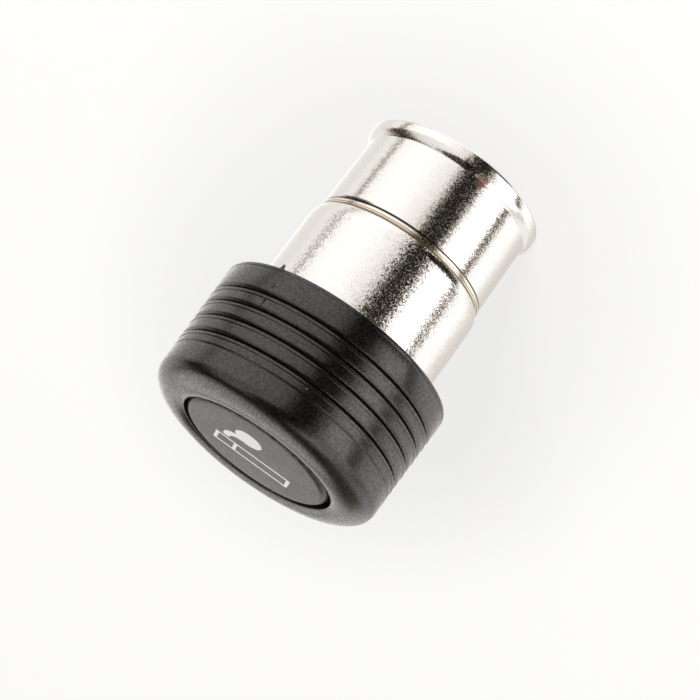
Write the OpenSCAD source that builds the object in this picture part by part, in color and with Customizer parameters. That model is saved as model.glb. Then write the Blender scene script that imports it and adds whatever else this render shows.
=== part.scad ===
// Removable electric lighter plug for a 21 mm dashboard socket.
// It stands on the open end of its guard sleeve, with the knob on top.
// The knob, the body tube and the heating element slide down over the guard against a spring.

/* [Knob] */
// Radius at the rear rim of the knob
knob_r = 13.52; // [13:0.01:14.2]
// Loss of radius from the rear rim to the front of the barrel
knob_taper = 0.19; // [0:0.01:0.6]
// Height of the knob's rear face above the open end
knob_z = 22.3; // [21.6:0.05:22.6]
// Height of the crown of the knob's front ring
knob_top = 36.87; // [36.6:0.01:37.2]
// Centre heights of the finger grooves
groove_z = [25.4, 27.22, 29.1, 31.12];
// Width of the slot in each groove
groove_w = 0.28; // [0.15:0.01:0.4]
// Depth of the slot below the rib faces
groove_d = 0.75; // [0.3:0.05:1.2]
// Height of the fine moulding line ahead of the last groove
line_z = 32.72; // [32.5:0.01:33.2]

/* [Face disc] */
// Radius of the recess in the knob's face
recess_r = 9.07; // [8.95:0.01:9.3]
// Height of the ledge under the disc
ledge_z = 34.9; // [34.7:0.05:35.1]
// Radius of the disc
disc_r = 8.75; // [8.4:0.01:8.8]
// Height of the disc's top face
disc_top = 36.77; // [36.6:0.01:36.9]
// Sideways play taken up by the disc in its recess
disc_shift = 0.1; // [0:0.01:0.22]
// Number of snap pegs under the disc
peg_count = 3; // [3:1:4]

/* [Body tube] */
// Outer radius of the plug's body tube
tube_r = 10.4; // [10.35:0.01:10.45]
// Sheet thickness of the body tube
tube_t = 0.35; // [0.25:0.01:0.4]
// Height of the turned-in mouth of the body tube
tube_z = 11.35; // [11.2:0.05:11.6]
// Radius of the opening in the turned-in mouth
mouth_r = 10.0; // [9.98:0.01:10.02]
// Outer radius of the neck that enters the knob
neck_r = 7.4; // [7.2:0.05:7.6]
// Height of the top face of the neck
neck_top = 28.9; // [28.8:0.05:29]

/* [Guard sleeve] */
// Outer radius of the guard below its collar
guard_r = 9.88; // [9.85:0.01:9.9]
// Outer radius of the guard just above the lip
guard_waist_r = 9.76; // [9.7:0.01:9.85]
// Sheet thickness of the guard
guard_t = 0.42; // [0.3:0.01:0.45]
// Greatest radius of the rolled lip at the open end
lip_r = 10.33; // [10.2:0.01:10.35]
// Height of the rolled lip
lip_h = 2.1; // [1.8:0.05:2.6]
// Outer radius of the bead under the tube's mouth
collar_r = 9.95; // [9.93:0.01:9.96]
// Height of the web across the inside of the guard
web_z = 16; // [15.9:0.05:16.1]

/* [Return spring] */
// Wire radius of the return spring
wire_r = 0.45; // [0.35:0.01:0.5]
// Mean coil radius of the return spring
spring_r = 5.2; // [5:0.05:5.4]
// Turns of the return spring, with its closed ends
spring_turns = 5; // [4:0.5:5.5]
// Travel of the knob against the spring
stroke = 6; // [4:0.5:6]

/* [Heating element] */
// Outer radius of the element cup
cup_r = 8.4; // [8.2:0.05:8.5]
// Height of the cup's rim above the open end
cup_z = 7.5; // [7:0.1:7.8]
// Turns of the heating ribbon
coil_turns = 5.5; // [4:0.5:6.5]
// Thickness of the heating ribbon
ribbon_t = 0.3; // [0.2:0.01:0.4]
// Width of the heating ribbon
ribbon_w = 2; // [1.6:0.1:2.1]

/* [Stud and fasteners] */
// Radius of the centre stud
stud_r = 2; // [1.9:0.01:2]
// Distance across the flats of the nut
nut_af = 7; // [6.6:0.1:7.4]
// Radius of the knurled brass insert
insert_r = 3.2; // [3:0.05:3.4]

/* [Quality] */
// Segments round a full turn
fn_round = 128; // [64:16:192]

/* [Hidden] */
$fn = fn_round;

sheet_gap = 0.05;                        // clearance of a clamped or sliding fit
web_t = 0.45;                            // thickness of the guard's web
web_top = web_z + web_t;
seat_z = 23.8;                           // floor of the counterbore that takes the body tube
seat_r = tube_r - 0.2;                   // necked end of the body tube inside the knob
bush_z = 15.5;                           // underside of the guide bush
bush_r = 3;                              // radius of the bush where it passes the web
seat_t = 0.4;                            // thickness of the lower spring seat
upper_seat_t = 0.55;
upper_seat_z = neck_top - tube_t - upper_seat_t;
washer_t = 0.6;
nut_h = 2.2;
washer_z = upper_seat_z - washer_t;
nut_z = washer_z - nut_h;
rivet_z = 8.2;                           // lower end of the rivet that carries the ribbon
mica_t = 0.2;
cup_t = 0.4;
cup_top = 12;                            // outside of the cup's closed end
shield_z = 14.2;
shield_t = 0.3;
stop_gap = 0.03;                         // gap under the bush at rest
push_top = web_top + stroke;             // reach of the guard inside the tube, knob pushed in
spring_z0 = web_top + seat_t;
spring_z1 = upper_seat_z - 0.02;
boss_r = 4.4;                            // radius of the boss round the insert
pocket_r = 8;                            // outer radius of the pocket behind the disc
pocket_z = 30.2;
peg_ring_r = 6.2;
insert_top = 33.6;

// Points of an arc about (cx, cz) from angle a0 to angle a1, both ends included.
function arc(cx, cz, r, a0, a1, n = 8) =
    [for (i = [0:n]) let (a = a0 + (a1 - a0) * i / n) [cx + r * cos(a), cz + r * sin(a)]];

// Radius of the knob's tapered barrel at height z.
function barrel_r(z) = knob_r - knob_taper * (z - knob_z) / (knob_top - knob_z);

// One finger groove, seen in section from the rear to the front:
// a rounded rib edge, a narrow slot, then a chamfer up to the next rib.
function groove(z) = let (
        half = groove_w / 2,
        edge = 0.26,
        lip = barrel_r(z) - edge,
        ramp = 0.42
    ) concat(
        arc(barrel_r(z) - edge, z - half - edge, edge, 0, 78, 5),
        [
            [lip - 0.03, z - half],
            [barrel_r(z) - groove_d, z - half + 0.02],
            [barrel_r(z) - groove_d, z + half - 0.02],
            [lip - 0.1, z + half],
            [barrel_r(z + ramp) - 0.04, z + half + ramp - 0.04],
            [barrel_r(z + ramp), z + half + ramp + 0.04]
        ]
    );

// Plain ring or washer between two radii.
module washer(r_in, r_out, z, h) {
    translate([0, 0, z])
        difference() {
            cylinder(r = r_out, h = h);
            translate([0, 0, -1])
                cylinder(r = r_in, h = h + 2);
        }
}

// The knob's outside: rear rim, ribbed grip, smooth barrel and crowned front ring.
module knob_outside() {
    corner_r = 1.7;                      // corner between barrel and crown
    corner_a = 50;
    front_r = barrel_r(knob_top - 2.3);
    crown_x = 10;                        // radius at which the crown is highest
    crown_r = (front_r - corner_r + corner_r * cos(corner_a) - crown_x) / cos(corner_a);
    corner_z = knob_top - crown_r * (1 - sin(corner_a)) - corner_r * sin(corner_a);
    inner_r = 1;                         // curve from the crown down into the recess
    line_d = 0.07;
    rotate_extrude()
        polygon(concat(
            [[0, knob_z], [knob_r - 0.3, knob_z]],
            arc(knob_r - 0.3, knob_z + 0.3, 0.3, -80, 0, 5),
            [for (z = groove_z) each groove(z)],
            [
                [barrel_r(line_z), line_z - line_d],
                [barrel_r(line_z) - line_d, line_z],
                [barrel_r(line_z), line_z + line_d]
            ],
            arc(front_r - corner_r, corner_z, corner_r, 0, corner_a, 8),
            arc(crown_x, knob_top - crown_r, crown_r, corner_a + 4, 90, 10),
            arc(crown_x, knob_top - inner_r, inner_r, 99, 135, 4),
            [
                [recess_r, knob_top - 0.45],
                [recess_r, ledge_z],
                [0, ledge_z]
            ]
        ));
}

// The insert's outline, which the moulding closes round.
module insert_solid() {
    flange_r = 3.9;
    groove_in = 0.35;
    rotate_extrude()
        polygon([
            [0, neck_top], [flange_r, neck_top], [flange_r, neck_top + 0.6],
            [insert_r, neck_top + 0.6], [insert_r, neck_top + 2],
            [insert_r - groove_in, neck_top + 2.2], [insert_r - groove_in, neck_top + 2.8],
            [insert_r, neck_top + 3], [insert_r, insert_top - 0.25],
            [insert_r - 0.25, insert_top], [0, insert_top]
        ]);
}

// Places its child at each snap peg.
module at_pegs() {
    for (i = [0:peg_count - 1])
        rotate([0, 0, 90 + i * 360 / peg_count])
            translate([peg_ring_r, 0, 0])
                children();
}

module knob() {
    core_r = 10.2;                       // annular core behind the ribs
    color("#2c2c2d")
        difference() {
            union() {
                difference() {
                    knob_outside();
                    // pocket behind the disc
                    washer(boss_r, pocket_r, pocket_z, ledge_z - pocket_z + 1);
                    translate([0, 0, ledge_z - 0.7])
                        cylinder(r = pocket_r, h = 1);
                }
                // peg bosses, which web the pocket
                at_pegs()
                    translate([0, 0, pocket_z - 0.5])
                        cylinder(r = 2, h = ledge_z - pocket_z + 0.5, $fn = 48);
            }
            at_pegs()
                translate([0, 0, pocket_z + 1])
                    cylinder(r = 1.15, h = ledge_z, $fn = 32);
            insert_solid();
            cylinder(r = stud_r + 0.1, h = knob_top);
            // seat of the body tube, bore for its neck and core behind the ribs
            cylinder(r = seat_r + sheet_gap, h = seat_z);
            cylinder(r = neck_r + sheet_gap, h = neck_top);
            washer(neck_r + 1.55, core_r, seat_z - 1, 7.2);
        }
}

module face_disc() {
    edge = 0.9;                          // rounding of the disc's edge
    plate_t = 1.3;
    skirt_t = 0.8;
    color("#3a3a3b")
        translate([-disc_shift, 0, 0]) {
            rotate_extrude()
                polygon(concat(
                    [
                        [0, disc_top - plate_t],
                        [disc_r - skirt_t, disc_top - plate_t],
                        [disc_r - skirt_t, ledge_z],
                        [disc_r, ledge_z]
                    ],
                    arc(disc_r - edge, disc_top - edge, edge, 0, 90, 6),
                    [[0, disc_top]]
                ));
            at_pegs()
                translate([0, 0, pocket_z + 2])
                    cylinder(r = 0.9, h = disc_top - plate_t - pocket_z - 2, $fn = 32);
        }
}

module knob_insert() {
    color("#b8924a")
        difference() {
            insert_solid();
            cylinder(r = stud_r + 0.02, h = knob_top);
        }
}

module centre_stud() {
    neck = 0.25;                         // relief below the threaded length
    top = insert_top - 0.2;
    color("#9c9ea0")
        rotate_extrude()
            polygon([
                [0, 11], [stud_r - 0.2, 11], [stud_r, 11.2],
                [stud_r, 22.6], [stud_r - neck, 22.85], [stud_r - neck, 23.6],
                [stud_r, 23.85], [stud_r, top - 0.4], [stud_r - 0.4, top], [0, top]
            ]);
}

module stud_nut() {
    corner = nut_af / 2 / cos(30);
    bevel = 0.35;
    color("#a9a598")
        difference() {
            intersection() {
                translate([0, 0, nut_z])
                    cylinder(r = corner, h = nut_h, $fn = 6);
                rotate_extrude()
                    polygon([
                        [0, nut_z], [corner - bevel, nut_z], [corner + 0.15, nut_z + bevel],
                        [corner + 0.15, nut_z + nut_h - bevel],
                        [corner - bevel, nut_z + nut_h], [0, nut_z + nut_h]
                    ]);
            }
            translate([0, 0, nut_z - 1])
                cylinder(r = stud_r + 0.02, h = nut_h + 2);
        }
}

module lock_washer() {
    color("#8d8f91")
        difference() {
            washer(stud_r + 0.06, 3.8, washer_z, washer_t);
            // the split
            translate([stud_r - 0.6, -0.4, washer_z - 1])
                cube([3, 0.8, washer_t + 2]);
        }
}

module spring_seat_upper() {
    rim = 0.5;
    color("#a3a5a6")
        rotate_extrude()
            polygon([
                [stud_r + sheet_gap, upper_seat_z], [5.9, upper_seat_z],
                [6.1, upper_seat_z - rim], [6.55, upper_seat_z - rim],
                [6.55, upper_seat_z + upper_seat_t], [stud_r + sheet_gap, upper_seat_z + upper_seat_t]
            ]);
}

// Stepped drawn cup: turned-in mouth, body, shoulder under the knob and a necked closed end.
module body_tube() {
    nose = 1.1;                          // outside radius of the turned-in mouth
    bend = 0.5;
    neck_in = 0.15;                      // step of the bore behind the guard's reach
    inner = tube_r - tube_t;
    base_z = seat_z - tube_t;
    color("#d9d6cf")
        rotate_extrude()
            polygon(concat(
                [[mouth_r, tube_z], [mouth_r + 0.05, tube_z - 0.02]],
                arc(tube_r - nose, tube_z + nose, nose, -45, 0, 7),
                [[tube_r, knob_z - 0.3], [seat_r, knob_z - 0.15]],
                arc(seat_r - bend, seat_z - bend, bend, 0, 90, 5),
                [
                    [neck_r, seat_z],
                    [neck_r, neck_top - 0.5],
                    [neck_r - 0.5, neck_top],
                    [stud_r + 0.1, neck_top],
                    [stud_r + 0.1, neck_top - tube_t],
                    [neck_r - 0.5 - tube_t * 0.4, neck_top - tube_t],
                    [neck_r - tube_t, neck_top - 0.5 - tube_t * 0.4],
                    [neck_r - tube_t, base_z]
                ],
                arc(inner - neck_in - 0.25, base_z - 0.25, 0.25, 90, 0, 3),
                [
                    [inner - neck_in, push_top - 0.15],
                    [inner, push_top - 0.55],
                    [inner, tube_z + nose],
                    [mouth_r, tube_z + 0.35]
                ]
            ));
}

// Drawn guard: rolled lip, slightly flared wall, bead, and a web for the guide bush.
module guard_sleeve() {
    end_r = 0.3;                         // rounding of the lip's free edge
    face_w = 0.31;                       // flat that the plug stands on
    roll_r = 2.6;                        // curve of the lip's outside
    roll_z = 0.7;                        // height at which the lip is widest
    bore = guard_r - guard_t;
    waist = guard_waist_r;
    bead_z = tube_z - 0.78;              // lower edge of the bead
    bead_h = 0.52;
    top_r = 0.7;
    color("#d6d3cc")
        rotate_extrude()
            polygon(concat(
                // free edge and rolled outside of the lip
                [[lip_r - end_r - face_w, 0]],
                arc(lip_r - end_r, end_r, end_r, -90, 0, 6),
                arc(lip_r - roll_r, roll_z, roll_r, 2, asin((lip_h - roll_z) / roll_r), 8),
                [[waist + 0.05, lip_h + 0.1], [waist, lip_h + 0.24]],
                // wall and bead
                [
                    [guard_r, bead_z],
                    [collar_r - 0.01, bead_z + 0.05],
                    [collar_r, bead_z + 0.13],
                    [collar_r, bead_z + bead_h - 0.1],
                    [guard_r + 0.02, bead_z + bead_h],
                    [guard_r + 0.02, web_top - top_r]
                ],
                arc(guard_r + 0.02 - top_r, web_top - top_r, top_r, 0, 90, 6),
                // web with its hole, then back down the bore
                [
                    [bush_r + 0.02, web_top],
                    [bush_r + 0.02, web_z]
                ],
                arc(bore - 0.3, web_z - 0.3, 0.3, 90, 0, 4),
                arc(bore + 0.4, 0.8, 0.4, 180, 240, 5)
            ));
}

module guide_bush() {
    clinch_r = 3.45;
    color("#b8924a")
        rotate_extrude()
            polygon([
                [stud_r + sheet_gap, bush_z], [4.4, bush_z], [4.6, bush_z + 0.2],
                [4.6, web_z], [bush_r, web_z], [bush_r, web_top],
                [clinch_r, web_top], [clinch_r, web_top + 0.45], [clinch_r - 0.3, web_top + 0.75],
                [stud_r + sheet_gap, web_top + 0.75]
            ]);
}

module spring_seat_lower() {
    rim_r = 6.6;
    rim_t = 0.4;
    color("#a3a5a6")
        rotate_extrude()
            polygon([
                [3.55, web_top], [rim_r, web_top], [rim_r, web_top + 1],
                [rim_r - rim_t, web_top + 1], [rim_r - rim_t, web_top + seat_t],
                [3.55, web_top + seat_t]
            ]);
}

// Height of the wire's centre after t turns: flat at both ends, a steady climb between.
function spring_lift(t) = let (
        closed = 0.75,
        low = spring_z0 + wire_r,
        high = spring_z1 - wire_r,
        grow = 2 * wire_r * closed * 1.04,
        climb = (high - low - 2 * grow) / (spring_turns - 2 * closed)
    )
    t < closed ? low + grow * t / closed
    : t > spring_turns - closed ? high - grow * (spring_turns - t) / closed
    : low + grow + climb * (t - closed);

// Helical compression spring swept as a ring of points at each step round the coil.
module return_spring() {
    sides = 8;
    per_turn = 22;
    rings = round(spring_turns * per_turn);
    points = [
        for (i = [0:rings], k = [0:sides - 1])
            let (a = 360 * i / per_turn, b = 360 * (k + 0.5) / sides,
                 r = spring_r + wire_r * cos(b))
            [r * cos(a), r * sin(a), spring_lift(i / per_turn) + wire_r * sin(b)]
    ];
    skin = [
        for (i = [0:rings - 1], k = [0:sides - 1])
            let (n = (k + 1) % sides)
            [i * sides + k, i * sides + n, (i + 1) * sides + n, (i + 1) * sides + k]
    ];
    start = [for (k = [0:sides - 1]) sides - 1 - k];
    end = [for (k = [0:sides - 1]) rings * sides + k];
    color("#8f9193")
        polyhedron(points, concat([start], skin, [end]), convexity = 8);
}

module stop_washer() {
    color("#9c9ea0")
        washer(stud_r + sheet_gap, 4.8, shield_z + shield_t, bush_z - stop_gap - shield_z - shield_t);
}

// Dished reflector that keeps the element's heat off the guide bush.
module heat_shield() {
    outer = cup_r;
    drop = 0.7;
    color("#c9c8c4")
        rotate_extrude()
            polygon([
                [stud_r + sheet_gap, shield_z], [6, shield_z],
                [outer, shield_z - drop], [outer, shield_z - drop + shield_t],
                [6.05, shield_z + shield_t], [stud_r + sheet_gap, shield_z + shield_t]
            ]);
}

module ceramic_insulator() {
    top = shield_z;
    low = cup_top + mica_t;
    color("#e9e4d8")
        rotate_extrude()
            polygon([
                [stud_r + sheet_gap, cup_top - cup_t], [2.9, cup_top - cup_t], [2.9, low],
                [5, low], [5.3, low + 0.3], [5.3, top - 0.3], [5, top],
                [stud_r + sheet_gap, top]
            ]);
}

module mica_upper() {
    color("#b7a98c")
        washer(3, 6.8, cup_top, mica_t);
}

// Drawn cup with a small flange at its open rim.
module element_cup() {
    bend = 0.9;
    flange = 0.3;
    hole = 3;
    color("#bdbab4")
        rotate_extrude()
            polygon(concat(
                [
                    [hole, cup_top - cup_t]
                ],
                arc(cup_r - cup_t - bend + 0.4, cup_top - cup_t - bend + 0.4, bend - 0.4, 90, 0, 4),
                [
                    [cup_r - cup_t, cup_z + 0.35],
                    [cup_r - cup_t + 0.15, cup_z],
                    [cup_r + flange, cup_z],
                    [cup_r + flange, cup_z + 0.3],
                    [cup_r, cup_z + 0.65]
                ],
                arc(cup_r - bend, cup_top - bend, bend, 0, 90, 6),
                [[hole, cup_top]]
            ));
}

module mica_lower() {
    color("#b7a98c")
        washer(stud_r + sheet_gap, 6.8, cup_top - cup_t - mica_t, mica_t);
}

// Rivet that closes the stack and holds the inner end of the ribbon in its slot.
module coil_rivet() {
    flange_top = cup_top - cup_t - mica_t;
    slot_w = ribbon_t + 0.1;
    color("#8a8c8e")
        difference() {
            rotate_extrude()
                polygon([
                    [0, rivet_z], [1.5, rivet_z], [1.8, rivet_z + 0.3], [1.8, 10.6],
                    [3.1, 10.6], [3.3, 10.8], [3.3, flange_top], [stud_r + 0.01, flange_top],
                    [stud_r + 0.01, 11], [0, 11]
                ]);
            translate([-3, -slot_w / 2, rivet_z - 1])
                cube([6, slot_w, 2.4]);
        }
}

// Flat spiral ribbon: a strip between two curves that wind out from the rivet to the cup.
module heating_coil() {
    inner = 1.9;
    outer = cup_r - cup_t - ribbon_t - 0.06;
    per_turn = 30;
    steps = round(coil_turns * per_turn);
    function spiral(i, off) = let (
            a = 360 * i / per_turn,
            r = inner + (outer - inner) * i / steps + off
        ) [r * cos(a), r * sin(a)];
    color("#6f6a66")
        translate([0, 0, cup_z + 0.7])
            linear_extrude(height = ribbon_w)
                polygon(concat(
                    [for (i = [0:steps]) spiral(i, ribbon_t)],
                    [for (i = [steps:-1:0]) spiral(i, 0)]
                ));
}

knob();
face_disc();
knob_insert();
centre_stud();
stud_nut();
lock_washer();
spring_seat_upper();
body_tube();
guard_sleeve();
guide_bush();
spring_seat_lower();
return_spring();
stop_washer();
heat_shield();
ceramic_insulator();
mica_upper();
element_cup();
mica_lower();
coil_rivet();
heating_coil();
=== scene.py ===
import math

import bpy
import numpy as np
from mathutils import Matrix


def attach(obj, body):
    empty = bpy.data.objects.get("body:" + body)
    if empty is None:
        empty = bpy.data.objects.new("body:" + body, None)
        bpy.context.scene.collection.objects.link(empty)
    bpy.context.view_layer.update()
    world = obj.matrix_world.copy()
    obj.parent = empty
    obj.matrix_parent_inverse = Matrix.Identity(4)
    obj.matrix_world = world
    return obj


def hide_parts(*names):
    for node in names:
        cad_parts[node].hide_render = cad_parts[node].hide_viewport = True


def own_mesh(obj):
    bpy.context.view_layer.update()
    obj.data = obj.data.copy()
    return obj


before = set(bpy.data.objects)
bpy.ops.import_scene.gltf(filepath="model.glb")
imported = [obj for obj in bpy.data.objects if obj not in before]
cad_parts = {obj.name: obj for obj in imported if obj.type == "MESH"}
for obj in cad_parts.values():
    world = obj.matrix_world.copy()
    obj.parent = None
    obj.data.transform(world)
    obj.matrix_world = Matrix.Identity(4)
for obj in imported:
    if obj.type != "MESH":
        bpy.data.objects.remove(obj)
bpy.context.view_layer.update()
print("frame loaded:", len(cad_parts), "nodes")

mm = 0.001
fullTurn = 2 * math.pi


def arcPoints(centreR, centreZ, radius, startDeg, endDeg, steps=8):
    # points on a circle about (centreR, centreZ), from one angle to the other
    angle = np.radians(np.linspace(startDeg, endDeg, steps + 1))
    return np.column_stack([centreR + radius * np.cos(angle), centreZ + radius * np.sin(angle)])


def joinProfile(*runs):
    # one closed outline of (r, z) pairs; a point that repeats the one before it is dropped
    outline = np.vstack([np.asarray(run, float) for run in runs])
    step = np.linalg.norm(outline - np.roll(outline, 1, 0), axis=1)
    return outline[step > 0.0001]


def addObject(name, data):
    # an object of the scene
    thing = bpy.data.objects.new(name, data)
    bpy.context.collection.objects.link(thing)
    return thing


def meshPiece(name, points, quads, material, body, smooth=True, replaced=()):
    # an object at the origin from arrays of points and faces, riding on a body
    data = bpy.data.meshes.new(name)
    data.from_pydata(points.tolist(), [], [tuple(int(i) for i in q) for q in quads])
    data.validate()
    if smooth:
        data.shade_smooth()
    else:
        data.shade_flat()
    piece = addObject(name, data)
    data.materials.append(material)
    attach(piece, body)
    if replaced:
        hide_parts(*replaced)
    return piece


def revolveClosed(profile, turns, centre=(0.0, 0.0)):
    # surface of revolution of a closed outline: each point (r, z) goes to
    # (r cos a, r sin a, z) for a round the turn; rows and columns both wrap
    count = len(profile)
    angle = np.arange(turns) * fullTurn / turns
    ring = np.stack([np.cos(angle), np.sin(angle)], 1)
    xy = ring[:, None, :] * profile[None, :, :1] + np.array(centre)
    z = np.broadcast_to(profile[None, :, 1:], (turns, count, 1))
    points = np.concatenate([xy, z], 2).reshape(-1, 3) * mm
    i, j = np.meshgrid(np.arange(turns), np.arange(count), indexing="ij")
    nextI, nextJ = (i + 1) % turns, (j + 1) % count
    quads = np.stack([i * count + j, nextI * count + j, nextI * count + nextJ, i * count + nextJ], -1)
    return points, quads.reshape(-1, 4)


def stripQuads(count, sides):
    # faces between each ring of a swept section and the next
    i, k = np.meshgrid(np.arange(count - 1), np.arange(sides), indexing="ij")
    n = (k + 1) % sides
    quads = np.stack([i * sides + k, i * sides + n, (i + 1) * sides + n, (i + 1) * sides + k], -1)
    return quads.reshape(-1, 4)


def softenProfile(profile, sharpDeg=28.0, radius=0.04):
    # each corner of a closed outline that turns by more than sharpDeg becomes a small
    # three-point curve, cut back along both sides by at most radius mm
    before = np.roll(profile, 1, 0)
    after = np.roll(profile, -1, 0)
    legIn, legOut = profile - before, after - profile
    lenIn = np.linalg.norm(legIn, axis=1)
    lenOut = np.linalg.norm(legOut, axis=1)
    turn = np.degrees(np.arccos(np.clip((legIn * legOut).sum(1) / (lenIn * lenOut), -1, 1)))
    out = []
    for k in range(len(profile)):
        if turn[k] < sharpDeg:
            out.append(profile[k])
            continue
        cut = min(radius, 0.3 * lenIn[k], 0.3 * lenOut[k])
        a = profile[k] - legIn[k] / lenIn[k] * cut
        b = profile[k] + legOut[k] / lenOut[k] * cut
        out += [a, 0.25 * a + 0.5 * profile[k] + 0.25 * b, b]
    return np.array(out)


def newGroup(name, inputs, outputs):
    # a shader node group with named sockets, each (name, type, default), and its inner ends
    group = bpy.data.node_groups.new(name, "ShaderNodeTree")
    for label, kind, value in inputs:
        socket = group.interface.new_socket(label, in_out="INPUT", socket_type=kind)
        if value is not None:
            socket.default_value = value
    for label, kind in outputs:
        group.interface.new_socket(label, in_out="OUTPUT", socket_type=kind)
    given, result = group.nodes.new("NodeGroupInput"), group.nodes.new("NodeGroupOutput")
    return group, given.outputs, result.inputs


def addNode(tree, kind, links=(), **values):
    # a node with its settings, and links given as (socket, source output)
    node = tree.nodes.new(kind)
    for key, value in values.items():
        setattr(node, key, value)
    for socket, source in links:
        if isinstance(source, bpy.types.NodeSocket):
            tree.links.new(source, node.inputs[socket])
        else:
            node.inputs[socket].default_value = source
    return node


def mathNode(tree, operation, *values):
    # one sum on numbers or sockets
    return addNode(tree, "ShaderNodeMath", list(enumerate(values)), operation=operation).outputs[0]


def times(tree, first, second):
    # the product of two numbers or sockets
    return mathNode(tree, "MULTIPLY", first, second)


def vectorNode(tree, operation, *values):
    # one sum on vectors; the node itself, as some sums give a vector and others a value
    return addNode(tree, "ShaderNodeVectorMath", list(enumerate(values)), operation=operation)


def noiseNode(tree, place, scale, detail=2.0, roughness=0.5):
    # cloudy noise round 0.5, with scale cells to the metre
    return addNode(tree, "ShaderNodeTexNoise", [
        ("Vector", place), ("Scale", scale), ("Detail", detail), ("Roughness", roughness)]).outputs[0]


def splitNode(tree, place):
    # the x, y and z of a place
    return addNode(tree, "ShaderNodeSeparateXYZ", [(0, place)]).outputs


def mapNode(tree, value, fromLow, fromHigh, toLow, toHigh, smooth=False):
    # one range carried over to another, in a straight line or eased at both ends
    node = addNode(tree, "ShaderNodeMapRange", [
        ("Value", value), ("From Min", fromLow), ("From Max", fromHigh),
        ("To Min", toLow), ("To Max", toHigh)])
    node.interpolation_type = "SMOOTHSTEP" if smooth else "LINEAR"
    return node.outputs[0]


def window(tree, value, low, high, soft):
    # 1 between low and high, fading over soft outside both
    rise = mapNode(tree, value, low - soft, low, 0.0, 1.0, smooth=True)
    fall = mapNode(tree, value, high, high + soft, 1.0, 0.0, smooth=True)
    return times(tree, rise, fall)


def azimuthOf(tree, x, y):
    # degrees round the plug from +Y towards +X
    return times(tree, mathNode(tree, "ARCTAN2", x, y), 180 / math.pi)


def blend(tree, factor, first, second):
    # first where the factor is 0, second where it is 1
    return addNode(tree, "ShaderNodeMix", [("Factor", factor), ("A", first), ("B", second)]).outputs[0]


def mixColour(tree, factor, first, second):
    # the same for two colours
    colours = [(0, factor), (6, first), (7, second)]
    return addNode(tree, "ShaderNodeMix", colours, data_type="RGBA").outputs[2]


def mixShader(tree, share, first, second):
    # the same for two shader nodes
    return addNode(tree, "ShaderNodeMixShader", [
        (0, share), (1, first.outputs[0]), (2, second.outputs[0])])


def newMaterial(name, **sockets):
    # a Principled material with its constant values on the shader's own sockets
    material = bpy.data.materials.new(name)
    material.use_nodes = True
    tree = material.node_tree
    shader = tree.nodes["Principled BSDF"]
    for label, value in sockets.items():
        shader.inputs[label.replace("_", " ")].default_value = value
    return material, tree, shader


def objectPlace(tree):
    # the point in the piece's own frame, which is the part's
    return tree.nodes.new("ShaderNodeTexCoord").outputs["Object"]


number, vector = "NodeSocketFloat", "NodeSocketVector"
# noise scales are cells to the metre; an edge is where a blotch starts and stops to fade
groupLook = {
    "patchScale": 160.0, "pebbleScale": 4200.0, "fineFacets": 1.45,
    "creaseScale": 700.0, "creaseDetail": 3.0, "creaseRoughness": 0.6, "creaseEdge": (-0.06, 0.08),
    "spotScale": 2600.0, "spotTear": 1.6, "spotEdge": (1.35, 1.75),
}


def makeGrainGroup():
    # fine moulded or plated grain: two sizes of noise give a height, a third the pebbles of a
    # moulded skin, and a slow noise a patchy tone
    group, given, result = newGroup(
        "surfaceGrain",
        [("Place", vector, None), ("Fine Scale", number, 4000.0), ("Coarse Scale", number, 900.0),
         ("Coarse Share", number, 0.3)],
        [("Height", number), ("Patch", number), ("Pebble", number)])
    place = given["Place"]
    fine = noiseNode(group, place, given["Fine Scale"])
    coarse = noiseNode(group, place, given["Coarse Scale"], 1.0)
    weighted = times(group, coarse, given["Coarse Share"])
    group.links.new(mathNode(group, "ADD", fine, weighted), result["Height"])
    group.links.new(noiseNode(group, place, groupLook["patchScale"]), result["Patch"])
    group.links.new(noiseNode(group, place, groupLook["pebbleScale"], 1.0), result["Pebble"])
    return group


def makeShadeAndStainGroup():
    # a dark band along a crease, for tarnish and for painted shade in a joint's gap: 1 near one height,
    # torn up by a noise
    group, given, result = newGroup(
        "creaseShadeAndStain",
        [("Place", vector, None), ("Height", number, 0.0), ("Half Width", number, 0.0002),
         ("Cover", number, 0.5)],
        [("Mask", number)])
    z = splitNode(group, given["Place"])[2]
    away = mathNode(group, "ABSOLUTE", mathNode(group, "SUBTRACT", z, given["Height"]))
    near = mathNode(group, "DIVIDE", away, given["Half Width"])
    band = mapNode(group, near, 0.4, 1.0, 1.0, 0.0, smooth=True)
    noise = noiseNode(group, given["Place"], groupLook["creaseScale"],
                      groupLook["creaseDetail"], groupLook["creaseRoughness"])
    bareBelow = mathNode(group, "SUBTRACT", 0.75, times(group, given["Cover"], 0.5))
    above = mathNode(group, "SUBTRACT", noise, bareBelow)
    torn = mapNode(group, above, *groupLook["creaseEdge"], 0.0, 1.0)
    group.links.new(times(group, band, torn), result["Mask"])
    return group


def makeSpeckGroup():
    # a few small round specks: cells of a voronoi, kept where the cell's own random value is low
    group, given, result = newGroup(
        "sparseSpecks",
        [("Place", vector, None), ("Scale", number, 300.0), ("Size", number, 0.03),
         ("Kept", number, 0.3)],
        [("Mask", number)])
    cell = addNode(group, "ShaderNodeTexVoronoi", [("Vector", given["Place"]), ("Scale", given["Scale"])])
    spot = mathNode(group, "LESS_THAN", cell.outputs["Distance"], given["Size"])
    chance = addNode(group, "ShaderNodeSeparateColor", [(0, cell.outputs["Color"])]).outputs[0]
    kept = mathNode(group, "LESS_THAN", chance, given["Kept"])
    group.links.new(times(group, spot, kept), result["Mask"])
    return group


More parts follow.
